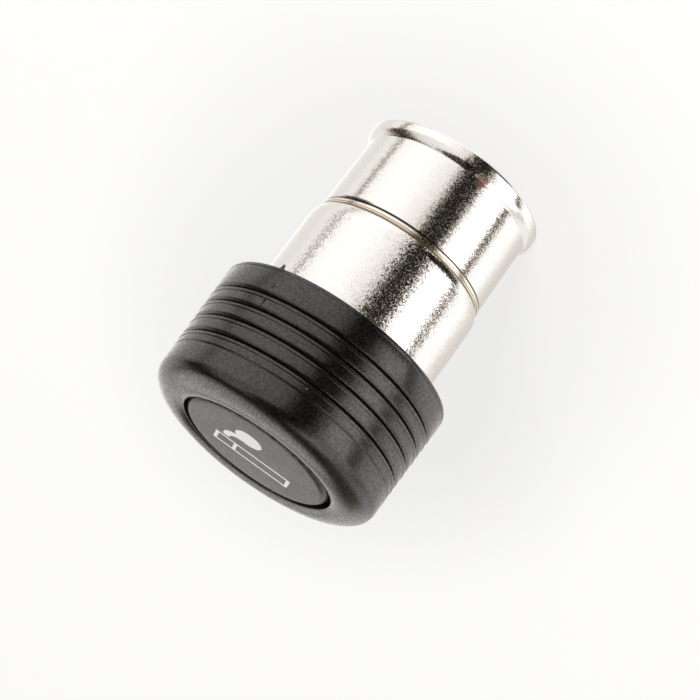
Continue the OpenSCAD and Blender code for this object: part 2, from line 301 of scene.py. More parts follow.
def makeSpeckleGroup():
    # crisp microscopic facets: the normal leans by the random vector of each voronoi cell, once in
    # plain measure and once, in finer cells, by its cube so that a few facets lean much more; Facet
    # is each fine cell's own random value cubed
    group, given, result = newGroup(
        "facetSpeckle",
        [("Place", vector, None), ("Scale", number, 6000.0), ("Tilt", number, 0.15),
         ("Heavy", number, 4.0)],
        [("Normal", vector), ("Facet", number)])
    total = addNode(group, "ShaderNodeNewGeometry").outputs["Normal"]
    for size, heavy in ((1.0, False), (groupLook["fineFacets"], True)):
        cell = addNode(group, "ShaderNodeTexVoronoi", [
            ("Vector", given["Place"]), ("Scale", times(group, given["Scale"], size))])
        lean = vectorNode(group, "SUBTRACT", cell.outputs["Color"], (0.5, 0.5, 0.5)).outputs[0]
        amount = given["Tilt"]
        if heavy:
            far = vectorNode(group, "LENGTH", lean).outputs["Value"]
            rare = times(group, times(group, far, far), given["Heavy"])
            amount = times(group, amount, rare)
        step = vectorNode(group, "SCALE", lean)
        group.links.new(amount, step.inputs["Scale"])
        total = vectorNode(group, "ADD", total, step.outputs[0]).outputs[0]
    group.links.new(vectorNode(group, "NORMALIZE", total).outputs[0], result["Normal"])
    chance = addNode(group, "ShaderNodeSeparateColor", [(0, cell.outputs["Color"])]).outputs[1]
    group.links.new(mathNode(group, "POWER", chance, 3.0), result["Facet"])
    return group


def makeSpotGroup():
    # one blotch round a point, its edge torn by a noise
    group, given, result = newGroup(
        "stainSpot",
        [("Place", vector, None), ("Centre", vector, None), ("Radius", number, 0.0005)],
        [("Mask", number)])
    away = vectorNode(group, "DISTANCE", given["Place"], given["Centre"]).outputs["Value"]
    noise = noiseNode(group, given["Place"], groupLook["spotScale"])
    reach = mathNode(group, "ADD", mathNode(group, "DIVIDE", away, given["Radius"]),
                     times(group, noise, groupLook["spotTear"]))
    mask = mapNode(group, reach, *groupLook["spotEdge"], 1.0, 0.0, smooth=True)
    group.links.new(mask, result["Mask"])
    return group


grainGroup = makeGrainGroup()
speckleGroup = makeSpeckleGroup()
spotGroup = makeSpotGroup()
shadeAndStainGroup = makeShadeAndStainGroup()
speckGroup = makeSpeckGroup()


def placeGroup(tree, group, place, **values):
    # a group in a material, fed with the place and its own values
    node = addNode(tree, "ShaderNodeGroup", node_tree=group)
    tree.links.new(place, node.inputs["Place"])
    for label, value in values.items():
        node.inputs[label.replace("_", " ")].default_value = value
    return node


def grainInto(tree, shader, look):
    # places the grain and speckle groups and feeds their normal to the shader through a bump
    place = objectPlace(tree)
    grain = placeGroup(tree, grainGroup, place, Fine_Scale=look["fineScale"],
                       Coarse_Scale=look["coarseScale"], Coarse_Share=look["coarseShare"])
    bump = addNode(tree, "ShaderNodeBump", [
        ("Height", grain.outputs["Height"]), ("Distance", look["grainDepth"]), ("Strength", 1.0)])
    facet = 0.0
    if look.get("tilt"):
        speckle = placeGroup(tree, speckleGroup, place, Scale=look["speckleScale"], Tilt=look["tilt"],
                             Heavy=look["heavy"])
        tree.links.new(speckle.outputs[0], bump.inputs["Normal"])
        facet = speckle.outputs[1]
    tree.links.new(bump.outputs[0], shader.inputs["Normal"])
    return place, grain, facet


# how much of each noise's range counts; what lies past an end is held there
noiseSpan = {"patch": (0.3, 0.7), "pebble": (0.32, 0.68), "height": (0.72, 1.08)}

# scales are cells to the metre and depths are metres; skin is the least and most shine of a grain,
# and sheen how far the roughness swings from patch to patch
blackPlasticLook = {
    "colour": (0.0003, 0.0003, 0.0003, 1), "fleck": (0.0075, 0.0073, 0.0068, 1),
    "roughness": 0.20, "sheen": (-0.04, 0.04), "ior": 1.52,
    "fineScale": 7000.0, "coarseScale": 3000.0, "coarseShare": 0.8, "grainDepth": 0.000016,
    "speckleScale": 8000.0, "tilt": 0.05, "heavy": 2.0, "skin": (0.12, 0.98),
    "dust": (0.24, 0.235, 0.225, 1), "dustScale": 330.0, "dustSize": 0.02, "dustKept": 0.22,
}
discPlasticLook = {
    "colour": (0.001, 0.001, 0.001, 1), "fleck": (0.045, 0.0435, 0.041, 1),
    "roughness": 0.30, "sheen": (-0.04, 0.04), "ior": 1.45,
    "fineScale": 4000.0, "coarseScale": 2000.0, "coarseShare": 0.8, "grainDepth": 0.000014,
    "speckleScale": 8000.0, "tilt": 0.05, "heavy": 3.0, "skin": (0.08, 0.42),
    "dust": (0.35, 0.34, 0.33, 1), "dustScale": 300.0, "dustSize": 0.02, "dustKept": 0.12,
}
nickelLook = {
    "colour": (0.91, 0.885, 0.86, 1), "roughness": 0.045, "glossSpan": (0.8, 1.3),
    "fineScale": 12000.0, "coarseScale": 3000.0, "coarseShare": 0.5, "grainDepth": 0.000004,
    "speckleScale": 7500.0, "tilt": 0.095, "heavy": 3.0, "facetSpread": 0.34,
    # the crease colour is tarnish and painted shade in joint gaps; shade is for painted dark reflection
    # and shade
    "shadeAndStain": (0.15, 0.095, 0.045, 1), "shadeAndStainRoughness": 0.32, "spot": (0.34, 0.20, 0.15, 1),
    "pit": (0.20, 0.16, 0.12, 1), "pitScale": 260.0, "pitSize": 0.018, "pitKept": 0.2,
    "shade": (0.045, 0.038, 0.030, 1), "gold": (0.86, 0.70, 0.46, 1),
}
# marks and painted shade, with lengths in mm: creases are (height, half width, cover), spots (x, y, z,
# radius), and shades (from and to degrees, their softness, low and high, their softness, share, colour)
tubeMarksAndShade = {
    "creases": [(11.40, 0.10, 2.0), (22.3, 0.12, 0.5)], "spots": [],
    # the shade on the nose is a painted dark reflection
    "shades": [(13.0, 35.0, 6.0, 11.62, 12.12, 0.18, 0.82, "shade")],
}
guardMarksAndShade = {
    # the crease bands at 10.54 and 11.22 paint the shade in the gaps of the step between the sleeves
    "creases": [(10.54, 0.15, 2.2), (10.98, 0.06, 1.3), (11.22, 0.15, 2.3)],
    "spots": [(2.15, 9.75, 1.95, 0.85)],
    "shades": [(-100.0, 100.0, 20.0, 10.62, 11.5, 0.05, 0.26, "gold"),
               # painted shade: a dark reflection along the lip, and the shade in the step between the
               # sleeves, a dark blotch on the left that thins to a line
               (9.0, 22.0, 10.0, -1.0, 0.18, 0.22, 0.92, "shade"),
               (-54.0, -40.0, 9.0, 10.28, 10.66, 0.12, 0.88, "shade"),
               (-40.0, 8.0, 12.0, 10.40, 10.60, 0.08, 0.86, "shade")],
}


def makePlastic(name, look):
    # moulded plastic: fine grain in the normal and the colour, a moulded skin that shines in some
    # grains more than in others, a patchy sheen and a little dust
    material, tree, shader = newMaterial(name, Base_Color=look["colour"], Roughness=look["roughness"],
                                         IOR=look["ior"], Coat_Roughness=look["roughness"], Coat_IOR=1.5)
    place, grain, _ = grainInto(tree, shader, look)
    dust = placeGroup(tree, speckGroup, place, Scale=look["dustScale"], Size=look["dustSize"],
                      Kept=look["dustKept"])
    raised = mapNode(tree, grain.outputs["Height"], *noiseSpan["height"], 0.0, 1.0)
    flecked = mixColour(tree, raised, look["colour"], look["fleck"])
    tree.links.new(mixColour(tree, dust.outputs[0], flecked, look["dust"]), shader.inputs["Base Color"])
    skin = mapNode(tree, grain.outputs["Pebble"], *noiseSpan["pebble"], *look["skin"])
    tree.links.new(skin, shader.inputs["Coat Weight"])
    sheen = mapNode(tree, grain.outputs["Patch"], *noiseSpan["patch"],
                    *[look["roughness"] + change for change in look["sheen"]])
    tree.links.new(sheen, shader.inputs["Roughness"])
    return material


def makeNickel(name, look, marksAndShade):
    # bright plate with a fine peel and a few pits, dark bands in the creases that are partly tarnish and
    # partly painted shade in joint gaps, brown spots, golden tarnish on part of an edge, and painted dark
    # reflection and shade elsewhere
    material, tree, shader = newMaterial(name, Metallic=1.0, Roughness=look["roughness"])
    place, grain, facet = grainInto(tree, shader, look)
    # the crease bands, partly painted shade, and the brown spots gather into one mask for the colour and
    # the roughness
    shadeAndStain = 0.0
    for height, halfWidth, cover in marksAndShade["creases"]:
        mask = placeGroup(tree, shadeAndStainGroup, place, Height=height * mm, Half_Width=halfWidth * mm,
                          Cover=cover)
        shadeAndStain = mathNode(tree, "MAXIMUM", shadeAndStain, mask.outputs[0])
    pits = placeGroup(tree, speckGroup, place, Scale=look["pitScale"], Size=look["pitSize"],
                      Kept=look["pitKept"])
    plated = mixColour(tree, pits.outputs[0], look["colour"], look["pit"])
    plated = mixColour(tree, shadeAndStain, plated, look["shadeAndStain"])
    for x, y, z, radius in marksAndShade["spots"]:
        spot = placeGroup(tree, spotGroup, place, Centre=(x * mm, y * mm, z * mm), Radius=radius * mm)
        plated = mixColour(tree, spot.outputs[0], plated, look["spot"])
        shadeAndStain = mathNode(tree, "MAXIMUM", shadeAndStain, spot.outputs[0])
    x, y, z = splitNode(tree, place)
    azimuth = azimuthOf(tree, x, y)
    for fromDeg, toDeg, softDeg, low, high, soft, share, tone in marksAndShade["shades"]:
        shade = times(tree, window(tree, azimuth, fromDeg, toDeg, softDeg),
                      window(tree, z, low * mm, high * mm, soft * mm))
        plated = mixColour(tree, times(tree, shade, share), plated, look[tone])
    tree.links.new(plated, shader.inputs["Base Color"])
    gloss = mapNode(tree, grain.outputs["Patch"], *noiseSpan["patch"],
                    *[look["roughness"] * share for share in look["glossSpan"]])
    gloss = mathNode(tree, "ADD", gloss, times(tree, facet, look["facetSpread"]))
    tree.links.new(blend(tree, shadeAndStain, gloss, look["shadeAndStainRoughness"]), shader.inputs["Roughness"])
    return material


plainLook = {
    "fineScale": 2500.0, "coarseScale": 600.0, "coarseShare": 0.5, "grainDepth": 0.000004,
    "toneShare": 0.85, "glossSpan": (0.8, 1.25),
}


def makePlainMetal(name, colour, roughness, metallic=1.0):
    # turned or drawn metal, and with metallic 0 the dry minerals of the stack
    material, tree, shader = newMaterial(name, Base_Color=colour, Metallic=metallic, Roughness=roughness)
    _, grain, _ = grainInto(tree, shader, plainLook)
    tone = [c * plainLook["toneShare"] for c in colour[:3]] + [1]
    shade = mapNode(tree, grain.outputs["Patch"], *noiseSpan["patch"], 0.0, 1.0)
    tree.links.new(mixColour(tree, shade, colour, tone), shader.inputs["Base Color"])
    sheen = mapNode(tree, grain.outputs["Patch"], *noiseSpan["patch"],
                    *[roughness * share for share in plainLook["glossSpan"]])
    tree.links.new(sheen, shader.inputs["Roughness"])
    return material


blackPlastic = makePlastic("knobPlastic", blackPlasticLook)
discPlastic = makePlastic("discPlastic", discPlasticLook)
tubeNickel = makeNickel("tubeNickel", nickelLook, tubeMarksAndShade)
guardNickel = makeNickel("guardNickel", {**nickelLook, "tilt": 0.055, "heavy": 1.6, "facetSpread": 0.30},
                         guardMarksAndShade)
zincSteel = makePlainMetal("zincSteel", (0.55, 0.55, 0.56, 1), 0.28)
springWire = makePlainMetal("springWire", (0.42, 0.42, 0.43, 1), 0.25)
turnedBrass = makePlainMetal("turnedBrass", (0.72, 0.53, 0.25, 1), 0.25)
cupSteel = makePlainMetal("cupSteel", (0.62, 0.59, 0.55, 1), 0.3)
ribbonAlloy = makePlainMetal("ribbonAlloy", (0.30, 0.27, 0.25, 1), 0.45)
dryCeramic = makePlainMetal("dryCeramic", (0.80, 0.77, 0.69, 1), 0.6, metallic=0.0)
micaSheet = makePlainMetal("micaSheet", (0.52, 0.45, 0.32, 1), 0.35, metallic=0.0)
signInk = newMaterial("signInk", Base_Color=(0.88, 0.88, 0.87, 1), Roughness=0.5)[0]
print("materials made")

nodeMaterials = {
    "knob_insert": turnedBrass, "guide_bush": turnedBrass, "centre_stud": zincSteel, "stud_nut": zincSteel,
    "lock_washer": zincSteel, "spring_seat_upper": zincSteel, "spring_seat_lower": zincSteel,
    "stop_washer": zincSteel, "coil_rivet": zincSteel, "return_spring": springWire,
    "heat_shield": cupSteel, "element_cup": cupSteel, "ceramic_insulator": dryCeramic,
    "mica_upper": micaSheet, "mica_lower": micaSheet, "heating_coil": ribbonAlloy,
    "knob": blackPlastic, "face_disc": discPlastic, "body_tube": tubeNickel, "guard_sleeve": guardNickel,
}
for nodeName, nodeMaterial in nodeMaterials.items():
    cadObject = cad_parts[nodeName]
    if not cadObject.material_slots:
        cadObject.data.materials.append(nodeMaterial)
    for slot in cadObject.material_slots:
        slot.material = nodeMaterial


# sizes in mm; land and step are (inward, upward) points of a groove, the land's from the slot's top
knobShape = {
    "rearR": 13.52, "taper": 0.19, "rearZ": 22.3, "top": 36.87, "bevelIn": 0.26, "bevelR": 0.2,
    "grooves": (25.4, 27.22, 29.1, 31.12),
    "slotW": 0.18, "slotDepth": 0.75, "edge": 0.42, "edgeDrop": 0.36, "edgeDeg": 72,
    "land": ((0.14, 0.08), (0.05, 0.11), (0.01, 0.16)),
    "step": ((0.0, 0.56), (0.02, 0.59), (0.08, 0.635), (0.095, 0.665)), "ribZ": 0.72,
    "lineZ": 32.68, "lineDepth": 0.14, "crownX": 10.0, "crownDrop": 2.3, "cornerR": 1.7, "cornerDeg": 50,
    "innerR": 1.6, "recessR": 9.07, "ledgeZ": 34.9, "ledgeR": 4.0, "hollowR": 10.45, "hollowZ": 23.8,
    "wellR": 7.45, "wellZ": 28.9, "turns": 480,
}


def barrelR(z):
    # the radius narrows evenly from the rear rim to the front
    s = knobShape
    return s["rearR"] - s["taper"] * (z - s["rearZ"]) / (s["top"] - s["rearZ"])


def grooveProfile(z):
    # rounded rib edge, narrow slot, a raised land, then a small steep step down to the next rib,
    # whose face climbs slowly back to the barrel
    s = knobShape
    r, edge, slot = barrelR(z), s["edge"], s["slotW"]
    floorR, stepDeep = r - s["slotDepth"], s["step"][-1][0]
    return joinProfile(
        arcPoints(r - edge, z - s["edgeDrop"], edge, 0, s["edgeDeg"], 12),
        [(r - edge + 0.10, z + 0.06), (floorR, z + 0.07), (floorR, z + 0.06 + slot)],
        [(r - deep, z + up + slot) for deep, up in s["land"]],
        [(r - deep, z + up) for deep, up in s["step"]],
        [(barrelR(z + s["ribZ"]) - stepDeep, z + s["ribZ"])])


def knobProfile():
    # up the outside from the hollow's rim: bevel, ribs, fine line, a corner arc and the crown's wide
    # arc, which meet where both lean by cornerDeg; over the inner edge to the recess, and back down
    # through the well and the hollow
    s = knobShape
    rearR, rearZ, top, lineZ, lineD = s["rearR"], s["rearZ"], s["top"], s["lineZ"], s["lineDepth"]
    cornerR, cornerDeg, crownX, innerR = s["cornerR"], s["cornerDeg"], s["crownX"], s["innerR"]
    lean = math.radians(cornerDeg)
    frontR, lineR = barrelR(top - s["crownDrop"]), barrelR(lineZ)
    crownR = (frontR - cornerR + cornerR * math.cos(lean) - crownX) / math.cos(lean)
    cornerZ = top - crownR * (1 - math.sin(lean)) - cornerR * math.sin(lean)
    outside = joinProfile(
        [(s["hollowR"], rearZ)],
        arcPoints(rearR - s["bevelIn"], rearZ + s["bevelR"], s["bevelR"], -90, -10, 7),
        [(rearR - 0.006, rearZ + 0.43), (rearR - 0.04, rearZ + 0.47), (rearR - 0.045, rearZ + 0.50),
         (barrelR(rearZ + 0.6), rearZ + 0.58)],
        *[grooveProfile(z) for z in s["grooves"]],
        [(lineR, lineZ - lineD), (lineR - lineD, lineZ), (lineR, lineZ + lineD)],
        arcPoints(frontR - cornerR, cornerZ, cornerR, 0, cornerDeg, 16),
        arcPoints(crownX, top - crownR, crownR, cornerDeg + 3, 90, 18),
        arcPoints(crownX, top - innerR, innerR, 94, 123, 9),
        [(s["recessR"], top - 0.32), (s["recessR"], s["ledgeZ"]), (s["ledgeR"], s["ledgeZ"])])
    inside = [(s["ledgeR"], s["wellZ"]), (s["wellR"], s["wellZ"]),
              (s["wellR"], s["hollowZ"]), (s["hollowR"], s["hollowZ"])]
    return softenProfile(joinProfile(outside, inside))


knobPoints, knobQuads = revolveClosed(knobProfile(), knobShape["turns"])
meshPiece("knob_shell", knobPoints, knobQuads, blackPlastic, "plunger",
          replaced=["knob"])


# a torn fin left where the mould closed, on the rear rim, and its short seams on the ribs: each
# plate is (degrees from +Y, lower z, height, width, stand-out), rooted to one depth
flashShape = {
    "root": 0.16,
    "plates": ((-41.0, 21.88, 0.72, 0.62, 0.02), (-39.4, 24.15, 0.55, 0.34, 0.06),
               (-38.6, 25.9, 1.1, 0.10, 0.03)),
}


def makeFlash():
    # thin plates that stand out of the barrel, wide above and narrow below
    points, faces = [], []
    for deg, low, high, wide, out in flashShape["plates"]:
        turn = math.radians(deg)
        radial = np.array([math.sin(turn), math.cos(turn)])
        along = np.array([math.cos(turn), -math.sin(turn)])
        outline = [(-wide / 2, high), (wide / 2, high), (wide * 0.06, 0.0), (-wide * 0.12, 0.0)]
        base, n = len(points), len(outline)
        for depth in (barrelR(low) - flashShape["root"], barrelR(low) + out):
            points += [(*(radial * depth + along * x), low + z) for x, z in outline]
        faces += [tuple(base + k for k in range(n)), tuple(base + n + k for k in reversed(range(n)))]
        faces += [(base + k, base + n + k, base + n + (k + 1) % n, base + (k + 1) % n)
                  for k in range(n)]
    meshPiece("mould_flash", np.array(points) * mm, np.array(faces), blackPlastic, "plunger",
              smooth=False)


makeFlash()


discShape = {
    "r": 8.75, "top": 36.77, "plate": 1.3, "skirt": 0.8, "base": 34.9, "edge": 0.9, "shift": -0.1,
    "turns": 360,
}


def discProfile():
    # a shallow cap: the flat front, a quarter round at its edge and a skirt behind
    s = discShape
    r, top, edge, under, innerR = s["r"], s["top"], s["edge"], s["top"] - s["plate"], s["r"] - s["skirt"]
    return softenProfile(joinProfile(
        [(0.02, under), (0.4, under), (innerR, under), (innerR, s["base"]), (r, s["base"])],
        arcPoints(r - edge, top - edge, edge, 0, 90, 16),
        [(4.0, top), (0.8, top), (0.2, top), (0.02, top)]))


discPoints, discQuads = revolveClosed(discProfile(), discShape["turns"], (discShape["shift"], 0.0))
meshPiece("face_disc_shell", discPoints, discQuads, discPlastic, "plunger",
          replaced=["face_disc"])


# sizes in mm; puff is (x, y, half width, half height), tails (x, y, radius, first and last degrees)
signShape = {
    "inkHeight": 0.02, "left": -4.72, "baseY": -3.25, "length": 9.25, "height": 2.5, "longLine": 0.27,
    "endLine": 0.4, "dividerX": 2.5, "halfDivider": 0.2, "inset": 0.1, "lineCorner": 0.02,
    "tiltDeg": -1.3, "puff": (-1.45, 3.05, 1.62, 1.66), "puffSides": 56,
    "tailOuter": (-2.35, 0.45, 1.72, 205, 95), "tailInner": (-2.0, 0.1, 1.25, 190, 88),
}


def twoLevels(flat, low, high):
    # the same points of a plane at two heights
    return np.vstack([np.column_stack([flat, np.full(len(flat), z)]) for z in (low, high)])


def prism(outline, low, high):
    # a closed plate from an outline in the XY plane: both faces as fans about the middle, and a wall
    count = len(outline)
    points = twoLevels(np.vstack([outline, outline.mean(0)]), low, high)
    k = np.arange(count)
    n = (k + 1) % count
    off = count + 1
    under = np.stack([n, k, np.full(count, count)], 1)
    over = np.stack([k + off, n + off, np.full(count, count + off)], 1)
    wall = np.stack([k, n, n + off, k + off], 1)
    return points, [*under.tolist(), *over.tolist(), *wall.tolist()]


def roundedBar(x0, y0, x1, y1, corner=0.06, steps=4):
    # a rectangle's outline with quarter circles at its corners, anticlockwise
    runs = []
    for cx, cy, a in ((x1, y1, 0), (x0, y1, 90), (x0, y0, 180), (x1, y0, 270)):
        sx = -1 if cx == x1 else 1
        sy = -1 if cy == y1 else 1
        runs.append(arcPoints(cx + sx * corner, cy + sy * corner, corner, a, a + 90, steps))
    return np.vstack(runs)


def crescent(outer, inner, low, high, steps=20):
    # a closed curved plate between two arcs given as (x, y, radius, first angle, last angle)
    far, near = arcPoints(*outer, steps), arcPoints(*inner, steps)
    n = steps + 1
    points = twoLevels(np.vstack([far, near]), low, high)
    k = np.arange(steps)
    under = np.stack([k, k + 1, k + 1 + n, k + n], 1)
    over = under[:, ::-1] + 2 * n
    rim = np.concatenate([np.arange(n), np.arange(n)[::-1] + n])
    after = np.roll(rim, -1)
    wall = np.stack([after, rim, rim + 2 * n, after + 2 * n], 1)
    return points, [*under.tolist(), *over.tolist(), *wall.tolist()]


def makeSign():
    # the outlined bar with its divider, then the puff of smoke as a round with a curved tail; each
    # plate ends a hair above the one before, so that no two faces share a plane
    s = signShape
    w, h, end, line = s["length"], s["height"], s["endLine"], s["longLine"]
    half, inset, fine = s["halfDivider"], s["inset"], s["lineCorner"]
    bars = [
        roundedBar(0, 0, end, h), roundedBar(w - end, 0, w, h),
        roundedBar(inset, 0, w - inset, line, fine), roundedBar(inset, h - line, w - inset, h, fine),
        roundedBar(s["dividerX"] - half, inset, s["dividerX"] + half, h - inset),
    ]
    t = math.radians(s["tiltDeg"])
    turn = np.array([[math.cos(t), -math.sin(t)], [math.sin(t), math.cos(t)]])
    corner = np.array([s["left"], s["baseY"]])
    low, high = discShape["top"] - 0.01, discShape["top"] + s["inkHeight"]
    plates = [prism(bar @ turn + corner, low, high + 0.0005 * level) for level, bar in enumerate(bars)]
    x, y, rx, ry = s["puff"]
    a = np.arange(s["puffSides"]) * fullTurn / s["puffSides"]
    plates.append(prism(np.column_stack([x + rx * np.cos(a), y + ry * np.sin(a)]), low, high + 0.003))
    plates.append(crescent(s["tailOuter"], s["tailInner"], low, high + 0.0035))
    allPoints, allFaces, offset = [], [], 0
    for points, faces in plates:
        allPoints.append(points)
        allFaces += [[i + offset for i in f] for f in faces]
        offset += len(points)
    meshPiece("face_sign", np.vstack(allPoints) * mm, allFaces, signInk, "plunger",
              smooth=False)


makeSign()
print("knob, disc and sign made")


tubeShape = {
    "r": 10.4, "wall": 0.35, "mouthZ": 11.35, "mouthR": 10.0, "noseZ": 12.86, "noseWide": 4.0,
    "noseTight": 0.25, "noseDeg": 20, "rearZ": 22.25, "shoulderZ": 23.8, "shoulderR": 0.5,
    "neckR": 7.4, "backZ": 28.9, "backCut": 0.64, "boreR": 2.1, "turns": 480,
}


def tubeProfile():
    # up the outside from the mouth: the nose as a tight arc that a wide one eases into the barrel,
    # where both lean by noseDeg; the shoulder, neck and back, then the same way down, one wall in
    s = tubeShape
    r, t, mouthR, z, noseZ = s["r"], s["wall"], s["mouthR"], s["mouthZ"], s["noseZ"]
    wide, tight, easeDeg = s["noseWide"], s["noseTight"], s["noseDeg"]
    neckR, boreR, bend = s["neckR"], s["boreR"], s["shoulderR"]
    rearZ, shoulderZ, backZ, cut = s["rearZ"], s["shoulderZ"], s["backZ"], s["backCut"]
    ease = math.radians(easeDeg)
    easedR, easedZ = r - wide * (1 - math.cos(ease)), noseZ - wide * math.sin(ease)
    return softenProfile(joinProfile(
        [(mouthR, z), (mouthR + 0.05, z - 0.02)],
        arcPoints(easedR - tight * math.cos(ease), easedZ + tight * math.sin(ease), tight,
                  -60, -easeDeg, 10),
        arcPoints(r - wide, noseZ, wide, 1 - easeDeg, 0, 12),
        [(r, rearZ), (r - 0.04, rearZ + 0.04)],
        arcPoints(r - bend - 0.04, shoulderZ - bend, bend, 0, 90, 6),
        [(neckR, shoulderZ), (neckR, backZ - bend), (neckR - bend, backZ), (boreR, backZ),
         (boreR, backZ - t), (neckR - cut, backZ - t), (neckR - t, backZ - cut),
         (neckR - t, shoulderZ - t)],
        arcPoints(r - t - 0.25, shoulderZ - 0.6, 0.25, 90, 0, 4),
        [(r - t, noseZ), (r - t - 0.1, z + 0.5), (mouthR, z + 0.25)]))


guardShape = {
    "r": 9.88, "waist": 9.76, "wall": 0.42, "lipR": 10.33, "endR": 0.3, "rollR": 1.6, "rollZ": 0.7,
    "rollDeg": 46, "beadR": 9.95, "beadDrop": 0.78, "beadH": 0.52, "top": 16.45, "shoulderR": 0.7,
    "webZ": 16.0, "webR": 3.02,
}


def guardProfile():
    # up the outside from the open end: the lip, the rolled rim and, where that leans by rollDeg, a
    # hollow arc of the radius that brings it to the waist; the bead under the tube's mouth and the
    # shoulder, then over the web and down the bore
    s = guardShape
    r, lipR, endR, rollR, rollZ = s["r"], s["lipR"], s["endR"], s["rollR"], s["rollZ"]
    bore, top, bend, rollDeg = r - s["wall"], s["top"], s["shoulderR"], s["rollDeg"]
    beadR, beadZ = s["beadR"], tubeShape["mouthZ"] - s["beadDrop"]
    beadTop = beadZ + s["beadH"]
    roll = math.radians(rollDeg)
    rollEnd = (lipR - rollR * (1 - math.cos(roll)), rollZ + rollR * math.sin(roll))
    crease = (rollEnd[0] - s["waist"]) / (1 - math.cos(roll))
    return softenProfile(joinProfile(
        [(lipR - endR - 0.31, 0.0)],
        arcPoints(lipR - endR, endR, endR, -90, 0, 8),
        arcPoints(lipR - rollR, rollZ, rollR, 2, rollDeg, 16),
        arcPoints(rollEnd[0] + crease * math.cos(roll), rollEnd[1] + crease * math.sin(roll), crease,
                  180 + rollDeg - 4, 180, 10),
        [(r, beadZ - 0.12), (r - 0.07, beadZ - 0.06), (r, beadZ), (beadR - 0.01, beadZ + 0.05),
         (beadR, beadZ + 0.13), (beadR, beadTop - 0.1), (r + 0.02, beadTop), (r + 0.02, top - bend)],
        arcPoints(r + 0.02 - bend, top - bend, bend, 0, 90, 8),
        [(s["webR"], top), (s["webR"], s["webZ"])],
        arcPoints(bore - 0.3, s["webZ"] - 0.3, 0.3, 90, 0, 5),
        arcPoints(bore + 0.4, 0.8, 0.4, 180, 240, 6)))


tubePoints, tubeQuads = revolveClosed(tubeProfile(), tubeShape["turns"])
meshPiece("body_tube_shell", tubePoints, tubeQuads, tubeNickel, "plunger",
          replaced=["body_tube"])
guardPoints, guardQuads = revolveClosed(guardProfile(), tubeShape["turns"])
meshPiece("guard_shell", guardPoints, guardQuads, guardNickel, "guard",
          replaced=["guard_sleeve"])


# closed turns lie closedPitch wires apart at each end; stroke is how far the plug's slide shortens it
springShape = {
    "wire": 0.45, "r": 5.2, "turns": 5.0, "closed": 0.75, "closedPitch": 1.04, "low": 16.85,
    "high": 27.98, "stroke": 6.0, "perTurn": 48, "sides": 16,
}


def springCentre(t):
    # the wire's middle after t turns: flat at both ends with a steady climb between
    s = springShape
    low, high = s["low"] + s["wire"], s["high"] - s["wire"]
    grow = 2 * s["wire"] * s["closed"] * s["closedPitch"]
    climb = (high - low - 2 * grow) / (s["turns"] - 2 * s["closed"])
    z = np.interp(t, [0, s["closed"], s["turns"] - s["closed"], s["turns"]],
                  [low, low + grow, low + grow + climb * (s["turns"] - 2 * s["closed"]), high])
    return np.column_stack([s["r"] * np.cos(fullTurn * t), s["r"] * np.sin(fullTurn * t), z])


def makeSpring():
    # rings of the wire's section stand on the helix, across its path; the ends close in a point
    s = springShape
    t = np.linspace(0, s["turns"], int(s["turns"] * s["perTurn"]) + 1)
    centre = springCentre(t)
    out = np.column_stack([np.cos(fullTurn * t), np.sin(fullTurn * t), np.zeros_like(t)])
    path = np.gradient(centre, axis=0)
    path /= np.linalg.norm(path, axis=1)[:, None]
    up = np.cross(path, out)
    up *= np.sign(up[:, 2:3])
    a = (np.arange(s["sides"]) + 0.5) * fullTurn / s["sides"]
    rings = centre[:, None] + s["wire"] * (np.cos(a)[None, :, None] * out[:, None]
                                           + np.sin(a)[None, :, None] * up[:, None])
    count, sides = len(t), s["sides"]
    points = np.vstack([rings.reshape(-1, 3), centre[:1], centre[-1:]]) * mm
    k = np.arange(sides)
    n = (k + 1) % sides
    start = np.stack([n, k, np.full(sides, count * sides)], 1)
    last = (count - 1) * sides
    end = np.stack([last + k, last + n, np.full(sides, count * sides + 1)], 1)
    faces = [*stripQuads(count, sides).tolist(), *start.tolist(), *end.tolist()]
    piece = meshPiece("spring_wire", points, faces, springWire, "guard",
                      replaced=["return_spring"])
    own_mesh(piece)


makeSpring()


# thin is the ribbon's thickness and soft its edge; the spiral opens from inner to outerEdge
coilShape = {
    "inner": 1.9, "outerEdge": 7.94, "thin": 0.30, "soft": 0.07, "low": 8.2, "high": 10.2, "turns": 5.5,
    "perTurn": 96, "sway": 0.035, "swaysPerTurn": 1.37,
}


def makeCoil():
    # the ribbon's section, a slim rounded rectangle on edge, carried along an even spiral that
    # sways a little, as wound ribbon does; the ends are flat
    s = coilShape
    t = np.linspace(0, s["turns"], int(s["turns"] * s["perTurn"]) + 1)
    radius = s["inner"] + (s["outerEdge"] - s["thin"] - s["inner"]) * t / s["turns"]
    radius += s["sway"] * np.sin(fullTurn * t * s["swaysPerTurn"]) * np.sin(np.pi * t / s["turns"])
    soft, low, high, thin = s["soft"], s["low"], s["high"], s["thin"]
    section = np.array([
        (0, low + 3 * soft), (0, low + soft), (soft, low),
        (thin - soft, low), (thin, low + soft), (thin, low + 3 * soft),
        (thin, high - 3 * soft), (thin, high - soft), (thin - soft, high),
        (soft, high), (0, high - soft), (0, high - 3 * soft)])
    reach = radius[:, None] + section[None, :, 0]
    angle = (fullTurn * t)[:, None]
    z = np.broadcast_to(section[None, :, 1], reach.shape)
    points = np.stack([reach * np.cos(angle), reach * np.sin(angle), z], -1).reshape(-1, 3) * mm
    count, sides = len(t), len(section)
    quads = stripQuads(count, sides)[:, [0, 3, 2, 1]]
    last = (count - 1) * sides
    ends = [list(range(sides)), [last + k for k in reversed(range(sides))]]
    meshPiece("coil_ribbon", points, [*quads.tolist(), *ends], ribbonAlloy, "plunger",
              replaced=["heating_coil"])


makeCoil()
print("sleeves, spring and coil made")


# originPx is where the part's origin stands in the picture, from its upper left; distance in mm
cameraPlace = {
    "originPx": (454.89, 184.09), "axisDeg": 126.258, "elevationDeg": 18.2, "pxPerMm": 9.496,
    "distance": 325.5, "imagePx": 700, "sensor": 36.0,
}


